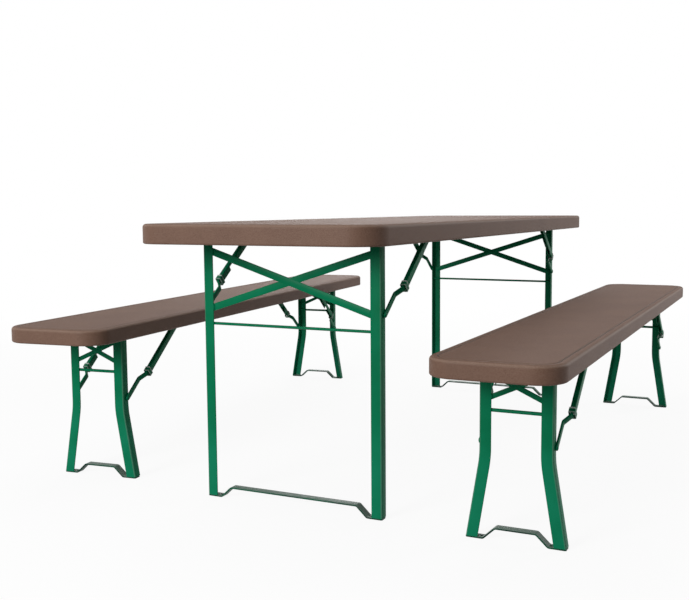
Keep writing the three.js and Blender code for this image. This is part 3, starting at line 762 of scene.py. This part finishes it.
def dimple(bm, x, y, ceiling):
    """A tapered oval pressed up into the underside. Returns its outer ring."""
    rings = [add_ring(bm, oval(x, y, ceiling, scale)) for scale in (DIMPLE_MOUTH, 1.0)]
    for step in range(1, DIMPLE_STEPS + 1):
        share = step / DIMPLE_STEPS
        rise = DIMPLE_DEPTH * math.sin(math.pi / 2 * share)
        rings.append(add_ring(bm, oval(x, y, ceiling + rise, 1 - (1 - DIMPLE_TAPER) * share)))
    rings.append(add_ring(bm, oval(x, y, ceiling + DIMPLE_DEPTH, DIMPLE_CEILING)))
    skin(bm, rings)
    bm.faces.new(rings[-1])
    return rings[0]


def moulded_top(name, size, material):
    """A top with a groove round its upper face, darkened as painted shade deepest at its bottom, and a
    dimpled recess below.
    """
    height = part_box(f"{name}_top")[1].z
    ceiling = height - DECK
    bm = bmesh.new()
    darkening = bm.verts.layers.float.new(DARKENING)
    rings = []
    for inset, z in top_profile(height, size["rim"]):
        rings.append(add_ring(bm, top_ring(size, inset, z)))
        # the groove's vertices hold painted shade, strongest at its bottom
        in_groove = GROOVE_INSET < inset < GROOVE_INSET + GROOVE_WIDTH and z > ceiling
        for vertex in rings[-1]:
            vertex[darkening] = (height - z) / GROOVE_DEPTH if in_groove else 0.0
    skin(bm, rings)
    bm.faces.new(rings[0])
    border = ring_edges(bm, rings[-1])
    for x, y in dimple_places(size):
        border += ring_edges(bm, dimple(bm, x, y, ceiling))
    bmesh.ops.triangle_fill(bm, use_beauty=True, use_dissolve=False, edges=border, normal=(0, 0, -1))
    bm.transform(unit_matrix(name))
    mesh_piece(f"{name}_moulded_top", bm, material, name, f"{name}_top")


# Leg frames, in the frame of the fold axis
def angle_leg(size, axis_z):
    """The right leg, an angle with its heel at the outer corner, and the tail of the stay's rivet."""
    near, far = -AXIS_SETBACK, ANGLE_SIDE - AXIS_SETBACK
    section = filleted([
        (near, 0, ANGLE_ROUND), (far, 0, BAR_ROUND), (far, -ANGLE_WALL, BAR_ROUND),
        (near + ANGLE_WALL, -ANGLE_WALL, ANGLE_ROUND / 2), (near + ANGLE_WALL, -ANGLE_FACE, BAR_ROUND),
        (near, -ANGLE_FACE, BAR_ROUND),
    ])
    half, foot = size["half"], FOOT_THICKNESS - axis_z
    stops = [(Vector((half, 0, LEG_ABOVE_AXIS)), Y, X)]
    bend = 0
    if size["splay"]:
        knee = size["knee"] - axis_z
        bend = math.atan2(size["splay"], knee - foot)
        centre = Vector((half + KNEE_RADIUS, 0, knee + KNEE_RADIUS * math.tan(bend / 2)))
        for step in range(BEND_STEPS + 1):
            turn = bend * step / BEND_STEPS
            out = Vector((math.cos(turn), 0, math.sin(turn)))
            stops.append((centre - KNEE_RADIUS * out, Y, out))
    stops.append((Vector((half + size["splay"], 0, foot)), Y, X / math.cos(bend)))
    # the heel's fillet carries a pale painted highlight line
    heel = range(1, FILLET_STEPS)
    angle = marked(sweep(stops, section), WEAR_AND_HIGHLIGHT, heel, HEEL_HIGHLIGHT, len(section))
    rivet = facing(-X, (half - ANGLE_WALL, 0, -STAY_DROP))
    return merged([(angle, Matrix()), (dome(RIVET_HEAD / 2, RIVET_TAIL), rivet)])


def cross_brace(size):
    """Two flat bars that cross behind the end flanges, with their welds."""
    end = size["half"] - ANGLE_FACE + BRACE_LAP
    toe = size["half"] - ANGLE_FACE
    y = ANGLE_WALL + BRACE_THICKNESS / 2 - AXIS_SETBACK
    parts = []
    for side, thickness in ((1, BRACE_THICKNESS), (-1, BRACE_THICKNESS - 2 * GAP)):
        high = Vector((-side * end, y, -size["brace_high"]))
        low = Vector((side * end, y, -size["brace_low"]))
        parts.append(bar(high, low, Y, block_outline(thickness, size["brace"])))
        for place in (high, low):
            slope = (low.z - high.z) / (low.x - high.x)
            x = math.copysign(toe - BEAD / 2, place.x)
            z = place.z + slope * (x - place.x)
            reach = size["brace"] * BRACE_BEAD
            bead_y = ANGLE_WALL - AXIS_SETBACK - BEAD / 4
            parts.append(weld_bead((x, bead_y, z - reach), (x, bead_y, z + reach)))
    return merged([(part, Matrix()) for part in parts])


def tie_rod(size):
    """A round rod between the legs, with a weld round each end."""
    end = size["half"] - ANGLE_WALL
    y = ANGLE_WALL + size["rod"] / 2 - AXIS_SETBACK
    z = -size["rod_drop"]
    parts = [(bar((-end, y, z), (end, y, z), Y, circle(size["rod"] / 2)), Matrix())]
    for side in (1, -1):
        weld = dome(size["rod"] / 2 + BEAD, 2 * BEAD, foot=0.1)
        parts.append((weld, facing(-side * X, (side * end, y, z))))
    return merged(parts)


def foot_bar(size, axis_z):
    """A flat bar bent up between two foot plates, with a fixing hole in each plate."""
    end = size["half"] + size["splay"]
    plate_end = end - FOOT_PLATE
    ramp_end = plate_end - FOOT_RAMP
    low = FOOT_THICKNESS / 2 - axis_z
    right = [(ramp_end, low + FOOT_RISE), (plate_end, low), (end, low)]
    path = bent_path([(-x, z) for x, z in reversed(right)] + right, FOOT_BEND)
    y = FOOT_WIDTH / 2 - AXIS_SETBACK
    stops = [(Vector((p.x, y, p.y)), Y, Vector((-t.y, 0, t.x))) for p, t in path]
    ends = (stops[0], stops[-1])
    full = [(point - X * math.copysign(FOOT_TRIM, point.x), wide, thick) for point, wide, thick in ends]
    narrow = [(point, wide * FOOT_END_WIDTH, thick) for point, wide, thick in ends]
    stops = [narrow[0], full[0], *stops[1:-1], full[1], narrow[1]]
    strip = sweep(stops, block_outline(FOOT_WIDTH, FOOT_THICKNESS))
    hole_x = end - ANGLE_FACE - FOOT_HOLE
    reach = 2 * FOOT_THICKNESS
    drills = [
        bar((x, y, low - reach), (x, y, low + reach), X, circle(FOOT_HOLE / 2))
        for x in (-hole_x, hole_x)
    ]
    # the whole bar is marked to be painted a darker green
    return marked(bored(strip, drills), DARKENING, (0,))


def foot_welds(size, axis_z):
    """Beads along the inside of each leg, where it stands on its foot plate."""
    end = size["half"] + size["splay"]
    z = FOOT_THICKNESS - axis_z
    y = ANGLE_WALL - AXIS_SETBACK
    parts = []
    for side in (1, -1):
        parts.append(weld_bead((side * (end - ANGLE_FACE), y, z), (side * (end - 2 * ANGLE_WALL), y, z)))
        x = side * (end - ANGLE_WALL)
        parts.append(weld_bead((x, y + ANGLE_WALL, z), (x, FOOT_WIDTH - AXIS_SETBACK - BEAD, z)))
    return merged([(part, Matrix()) for part in parts])


def ear(y, top):
    """An ear round a pivot, in the Y-Z plane."""
    pivot, down = Vector((y, 0)), Vector((0, -EAR_RADIUS))
    low = arc(pivot, Vector((-EAR_RADIUS, 0)), down, EAR_STEPS)
    low += arc(pivot, down, Vector((EAR_RADIUS, 0)), EAR_STEPS)[1:]
    outline = [Vector((y - EAR_RADIUS, top))] + low + [Vector((y + EAR_RADIUS, top))]
    return slab(outline, 0, EAR_THICKNESS)


def mounting_plate(size):
    """A plate with two arms, the ears and pins of the fold axis, and the ears of the stays."""
    half = size["half"]
    outer, inner, rear = half + PLATE_OUTER, half - PLATE_INNER, STAY_REACH + PLATE_REAR
    corners = [
        (-outer, -PLATE_FRONT), (outer, -PLATE_FRONT), (outer, rear), (inner, rear),
        (inner, PLATE_CROSS), (-inner, PLATE_CROSS), (-inner, rear), (-outer, rear),
    ]
    under = AXIS_DROP - GAP - PLATE_THICKNESS
    outline = filleted([(x, y, PLATE_ROUND) for x, y in corners])
    parts = [(slab(outline, under, under + PLATE_THICKNESS), Matrix())]
    upright = axes_matrix((0, 0, 0), Y, Z)
    axis_ear = half - ANGLE_WALL - GAP - EAR_THICKNESS
    for mirror in (Matrix(), MIRROR):
        for y, face in ((0, axis_ear), (STAY_REACH, half + STAY_EAR_FACE)):
            place = mirror @ Matrix.Translation(X * face) @ upright
            parts.append((ear(y, under + PLATE_THICKNESS / 2), place))
        parts.append((bar((axis_ear, 0, 0), (half + 2 * GAP, 0, 0), Y, circle(AXIS_PIN / 2)), mirror))
        parts.append((dome(AXIS_HEAD / 2, AXIS_HEAD_THICKNESS), mirror @ facing(X, (half + GAP, 0, 0))))
    return merged(parts)


def plate_screws(size):
    """Hexagon screws with washers, driven up through the plate."""
    under = AXIS_DROP - GAP - PLATE_THICKNESS
    hexagon = circle(SCREW_HEX / 2 / math.cos(math.pi / 6), 6)
    parts = []
    for side in (1, -1):
        for y in SCREW_PLACES:
            place = Vector((side * (size["half"] - SCREW_INSET), y, under))
            washer = dome(SCREW_WASHER / 2, SCREW_WASHER_HEIGHT, foot=0.6)
            head = slab(hexagon, SCREW_HEX_LOW, SCREW_HEX_HIGH)
            parts += [(washer, facing(-Z, place)), (head, facing(-Z, place))]
    return merged(parts)


# Folding stays, in the frame of the knee
def channel(half):
    """The upper link: a bent channel, open below, notched for the joggle, with its pivot pins."""
    low, high, head = -CHANNEL_FRONT, CHANNEL_BACK, UPPER_LENGTH + CHANNEL_HEAD
    near, far, sheet, edge = CHANNEL_FACE, CHANNEL_OUTER, CHANNEL_SHEET, SHEET_ROUND
    section = filleted([
        (near, low, edge), (near, high, CHANNEL_ROUND), (far, high, CHANNEL_ROUND), (far, low, edge),
        (far - sheet, low, edge), (far - sheet, high - sheet, CHANNEL_ROUND - sheet),
        (near + sheet, high - sheet, CHANNEL_ROUND - sheet), (near + sheet, low, edge),
    ])
    notch_top = LINK_WIDTH / 2 + 2 * GAP
    chamfer, corner = CHANNEL_CHAMFER, NOTCH_CORNER
    # Stages: the place along the channel, its bottom and top, and whether its near side is cut away
    stages = [
        (-CHANNEL_TAIL, low + chamfer, high, False), (chamfer - CHANNEL_TAIL, low, high, False),
        (JOGGLE_START - corner, low, high, False), (JOGGLE_START, low, high, True),
        (JOGGLE_END, low, high, True), (JOGGLE_END + corner, low, high, False),
        (head - chamfer, low, high, False), (head, low + chamfer, high - chamfer, False),
    ]
    rings = []
    for y, bottom, top, notched in stages:
        ring = []
        for p in section:
            z = bottom + (p.y - low) * (top - bottom) / (high - low)
            if notched and p.x < (near + far) / 2 and z < notch_top:
                z = notch_top - NOTCH_REST * (notch_top - z)
            ring.append(Vector((half + p.x, y, z)))
        rings.append(ring)
    pin_end = half + far - sheet / 2
    shank = half + STAY_EAR_FACE - GAP
    knee_near, knee_far = half + near - PIN_PROUD, half + far + PIN_PROUD
    knee_pin = bar((knee_near, 0, 0), (knee_far, 0, 0), Y, circle(KNEE_PIN / 2))
    stay_pin = bar((shank - GAP, UPPER_LENGTH, 0), (pin_end, UPPER_LENGTH, 0), Y, circle(STAY_PIN / 2))
    return merged([
        (capped(rings), Matrix()),
        (knee_pin, Matrix()),
        (stay_pin, Matrix()),
        (dome(STAY_HEAD / 2, STAY_HEAD_THICKNESS), facing(-X, (shank, UPPER_LENGTH, 0))),
        (dome(STAY_HEAD / 2, RIVET_HEIGHT), facing(X, (half + far, UPPER_LENGTH, 0))),
    ])


def joggled_link(half):
    """The lower link: a flat bar joggled out from the leg into the channel, with its rivet's head."""
    radius = LINK_WIDTH / 2
    upper = half + LINK_UPPER_FACE + LINK_THICKNESS / 2
    lower = half + GAP + LINK_THICKNESS / 2
    end = -LOWER_LENGTH - radius
    bends = [(upper, -JOGGLE_START), (lower, -JOGGLE_END)]
    path = bent_path([(upper, radius), *bends, (lower, end)], LINK_BEND)
    down = Vector((0, -1))
    cuts = [radius * share for share in LINK_END_CUTS]
    start_stops = [(Vector((upper, radius - cut)), down, cut) for cut in cuts]
    end_stops = [(Vector((lower, end + cut)), down, cut) for cut in reversed(cuts)]
    middle = [(Vector((upper, 0)), down, radius)]
    middle += [(point, along, radius) for point, along in path[1:-1]]
    middle.append((Vector((lower, -LOWER_LENGTH)), down, radius))
    stops = []
    for point, along, cut in start_stops + middle + end_stops:
        share = math.sqrt(1 - ((radius - cut) / radius) ** 2)
        stops.append((point.to_3d(), Z * share, Vector((-along.y, along.x, 0))))
    rivet = facing(X, (lower + LINK_THICKNESS / 2, -LOWER_LENGTH, 0))
    return merged([
        (sweep(stops, block_outline(LINK_WIDTH, LINK_THICKNESS)), Matrix()),
        (dome(RIVET_HEAD / 2, RIVET_HEIGHT), rivet),
    ])


def lock_ring(half):
    """A collar of bent sheet that slides over the knee, with a flared lip at each side of its top, made
    pale there as a painted highlight.
    """
    near, far = half + RING_FACE, half + CHANNEL_OUTER + RUN + RING_SHEET
    low, high = -CHANNEL_FRONT - RING_SLACK - RING_SHEET, CHANNEL_BACK + RUN + RING_SHEET
    sheet, edge = RING_SHEET, SHEET_ROUND

    def loop(inset):
        """The collar's outline, set in from its outside."""
        radius = RING_ROUND - inset
        corners = ((near, low), (far, low), (far, high), (near, high))
        middle_x, middle_z = (near + far) / 2, (low + high) / 2
        return filleted([
            (x + math.copysign(inset, middle_x - x), z + math.copysign(inset, middle_z - z), radius)
            for x, z in corners
        ], RING_STEPS)

    inside, outside = loop(sheet), loop(0)
    bottom = -CHANNEL_TAIL - RING_OVERHANG
    top = bottom + RING_HEIGHT
    lip, lip_foot, worn_end = RING_LIP, top - RING_LIP, RING_END_WEAR
    # Stages: the share of the sheet's thickness, the height, the lip's flare, and how pale it is: bare
    # steel at the lower end, painted highlight on the lip
    stages = [
        (0, bottom + edge, 0, worn_end), (0.25, bottom, 0, worn_end),
        (0.75, bottom, 0, worn_end), (1, bottom + edge, 0, worn_end),
        (1, bottom + RING_FADE, 0, 0), (1, lip_foot - RING_FADE / 2, 0, 0),
        (1, lip_foot, 0, RING_LIP_HIGHLIGHT), (1, top - 0.3 * lip, 0.55, 1),
        (1, top + 0.1 * lip, 1, 1), (0.6, top + 0.35 * lip, 1, 1),
        (0.1, top + 0.1 * lip, 0.8, 1), (0, lip_foot, 0, 0),
    ]
    bm = bmesh.new()
    wear_and_highlight = bm.verts.layers.float.new(WEAR_AND_HIGHLIGHT)
    rings = []
    for share, y, flare, worn_and_lit in stages:
        points = []
        for inner, outer in zip(inside, outside):
            out = (outer - inner).normalized()
            spot = inner.lerp(outer, share)
            spot.y += flare * lip * out.y * abs(out.y)
            points.append(Vector((spot.x, y, spot.y)))
        rings.append(add_ring(bm, points))
        for vertex in rings[-1]:
            vertex[wear_and_highlight] = worn_and_lit
    skin(bm, rings + rings[:1])
    return bm


def steel_piece(name, parts, material, body, matrix, node=None):
    """A piece made of parts in the frame of a matrix."""
    bm = merged(parts)
    bm.transform(matrix)
    mesh_piece(name, bm, material, body, node)


def leg_frame(key, size, paint):
    """The legs, braces, rod and foot bar that fold together."""
    matrix, body = frame_matrix(key), f"{key}_legs"
    axis_z = matrix.to_translation().z
    still = Matrix()
    foot = [(foot_bar(size, axis_z), still), (foot_welds(size, axis_z), still)]
    if size["splay"]:
        legs = [(angle_leg(size, axis_z), mirror) for mirror in (still, MIRROR)]
        parts = [*legs, (cross_brace(size), still), (tie_rod(size), still), *foot]
        steel_piece(f"{key}_welded_frame", parts, paint, body, matrix, f"{key}_leg_frame")
        return
    for mirror, side in sides(key):
        node = f"{key}_leg_{side}"
        steel_piece(f"{node}_angle", [(angle_leg(size, axis_z), mirror)], paint, body, matrix, node)
    for member, built in (("cross_brace", cross_brace(size)), ("tie_rod", tie_rod(size))):
        steel_piece(f"{key}_{member}_bars", [(built, still)], paint, body, matrix, f"{key}_{member}")
    steel_piece(f"{key}_bent_foot", foot, paint, body, matrix, f"{key}_foot_bar")


def sides(key):
    """Each side of a frame with its name as seen from the front of the set."""
    names = ("right", "left") if key.endswith("_front") else ("left", "right")
    return zip((Matrix(), MIRROR), names)


def stays(key, size, paint, ring_paint):
    """The links and collars of a frame's two folding stays."""
    matrix, half = stay_matrix(key), size["half"]
    kinds = (
        ("upper_stay", channel, "channel", paint, "green_paint"),
        ("lower_stay", joggled_link, "link", paint, "green_paint"),
        ("lock_ring", lock_ring, "collar", ring_paint, "ring_paint"),
    )
    for mirror, side in sides(key):
        for kind, build, word, material, slot in kinds:
            node, body = f"{key}_{kind}_{side}", f"{key}_{kind}s"
            parts = [(build(half), mirror)]
            steel_piece(f"{node}_{word}", parts, material, body, matrix, node)


# Stage, lights and camera
def floor():
    """White to the camera, with a soft shadow, and a mid grey to the light that bounces off it."""
    material, nodes, links, shader = new_material("pale_floor", roughness=0.9, specular=0.1)
    bm = bmesh.new()
    bmesh.ops.create_circle(bm, cap_ends=True, segments=FLOOR_SIDES, radius=FLOOR_RADIUS)
    mesh = bpy.data.meshes.new("floor")
    bm.to_mesh(mesh)
    bm.free()
    mesh.materials.append(material)
    ground = bpy.data.objects.new("floor", mesh)
    ground.location.z = -FLOOR_DROP
    bpy.context.scene.collection.objects.link(ground)
    paths = nodes.new("ShaderNodeLightPath")
    seen = seen_ray(nodes, links, paths)
    colour = mixed(nodes, links, seen, FLOOR_BOUNCE, FLOOR_SEEN)
    links.new(colour, shader.inputs["Base Color"])
    glow = nodes.new("ShaderNodeEmission")
    glow.inputs["Color"].default_value = WHITE
    distance = from_middle(nodes, links)
    share = spread(nodes, links, distance, (GLOW_NEAR, GLOW_FAR), given=(GLOW_START, GLOW_END))
    blend = nodes.new("ShaderNodeMixShader")
    links.new(product(nodes, links, seen, share), blend.inputs["Fac"])
    links.new(shader.outputs["BSDF"], blend.inputs[1])
    links.new(glow.outputs["Emission"], blend.inputs[2])
    links.new(blend.outputs["Shader"], nodes["Material Output"].inputs["Surface"])


def from_middle(nodes, links):
    """The distance from the middle of the floor."""
    place = nodes.new("ShaderNodeTexCoord")
    length = nodes.new("ShaderNodeVectorMath")
    length.operation = "LENGTH"
    links.new(place.outputs["Object"], length.inputs[0])
    return length.outputs["Value"]


def seen_ray(nodes, links, paths):
    """1 for rays that show the background: from the camera, off gloss or through glass."""
    first = nodes.new("ShaderNodeMath")
    first.operation = "MAXIMUM"
    links.new(paths.outputs["Is Camera Ray"], first.inputs[0])
    links.new(paths.outputs["Is Glossy Ray"], first.inputs[1])
    second = nodes.new("ShaderNodeMath")
    second.operation = "MAXIMUM"
    links.new(first.outputs[0], second.inputs[0])
    links.new(paths.outputs["Is Transmission Ray"], second.inputs[1])
    return second.outputs[0]


def world():
    """White where it is seen, and a dimmer light on the object."""
    sky = bpy.data.worlds.new("studio")
    bpy.context.scene.world = sky
    sky.use_nodes = True
    nodes, links = sky.node_tree.nodes, sky.node_tree.links
    paths = nodes.new("ShaderNodeLightPath")
    light = nodes["Background"]
    light.inputs["Color"].default_value = WHITE
    light.inputs["Strength"].default_value = AMBIENT
    white = nodes.new("ShaderNodeBackground")
    white.inputs["Color"].default_value = WHITE
    white.inputs["Strength"].default_value = 1.0
    blend = nodes.new("ShaderNodeMixShader")
    links.new(seen_ray(nodes, links, paths), blend.inputs["Fac"])
    links.new(light.outputs["Background"], blend.inputs[1])
    links.new(white.outputs["Background"], blend.inputs[2])
    links.new(blend.outputs["Shader"], nodes["World Output"].inputs["Surface"])


def softbox(name, place, target, size, power):
    """A round soft lamp that points at a target."""
    lamp = bpy.data.lights.new(name, "AREA")
    lamp.shape = "DISK"
    lamp.size = size
    lamp.energy = power
    lamp_object = bpy.data.objects.new(name, lamp)
    lamp_object.location = place
    direction = Vector(target) - Vector(place)
    lamp_object.rotation_euler = direction.to_track_quat("-Z", "Y").to_euler()
    bpy.context.scene.collection.objects.link(lamp_object)


def camera():
    """The camera at the photograph's viewing angle."""
    lens = bpy.data.cameras.new("camera")
    lens.sensor_fit = "HORIZONTAL"
    lens.sensor_width = SENSOR_WIDTH
    lens.lens = FOCAL_PIXELS / IMAGE_WIDTH * SENSOR_WIDTH
    lens.shift_x = (IMAGE_WIDTH / 2 - PRINCIPAL_X) / IMAGE_WIDTH
    lens.shift_y = (PRINCIPAL_Y - IMAGE_HEIGHT / 2) / IMAGE_WIDTH
    viewer = bpy.data.objects.new("camera", lens)
    viewer.matrix_world = (
        Matrix.Translation(unit_matrix("table").to_translation() + CAMERA_PLACE)
        @ Matrix.Rotation(CAMERA_YAW, 4, "Z")
        @ Matrix.Rotation(math.pi / 2 - CAMERA_PITCH, 4, "X")
        @ Matrix.Rotation(CAMERA_ROLL, 4, "Z")
    )
    bpy.context.scene.collection.objects.link(viewer)
    bpy.context.scene.camera = viewer


plastic = brown_plastic()
paint = green_paint("green_paint", wear=0.0)
ring_paint = green_paint("ring_paint", wear=RING_PAINT_WEAR)
zinc = zinc_plate()
for unit_name, (top_size, frame_size) in UNITS.items():
    moulded_top(unit_name, top_size, plastic)
    for end in ("front", "rear"):
        key = f"{unit_name}_{end}"
        leg_frame(key, frame_size, paint)
        stays(key, frame_size, paint, ring_paint)
        place = frame_matrix(key)
        plate = [(mounting_plate(frame_size), Matrix())]
        steel_piece(f"{key}_eared_plate", plate, paint, unit_name, place, f"{key}_mounting_plate")
        screws = [(plate_screws(frame_size), Matrix())]
        steel_piece(f"{key}_plate_screws", screws, zinc, unit_name, place)

floor()
world()
for lamp_name, lamp_settings in LAMPS.items():
    softbox(lamp_name, *lamp_settings)
camera()
bpy.context.scene.view_settings.view_transform = "Standard"
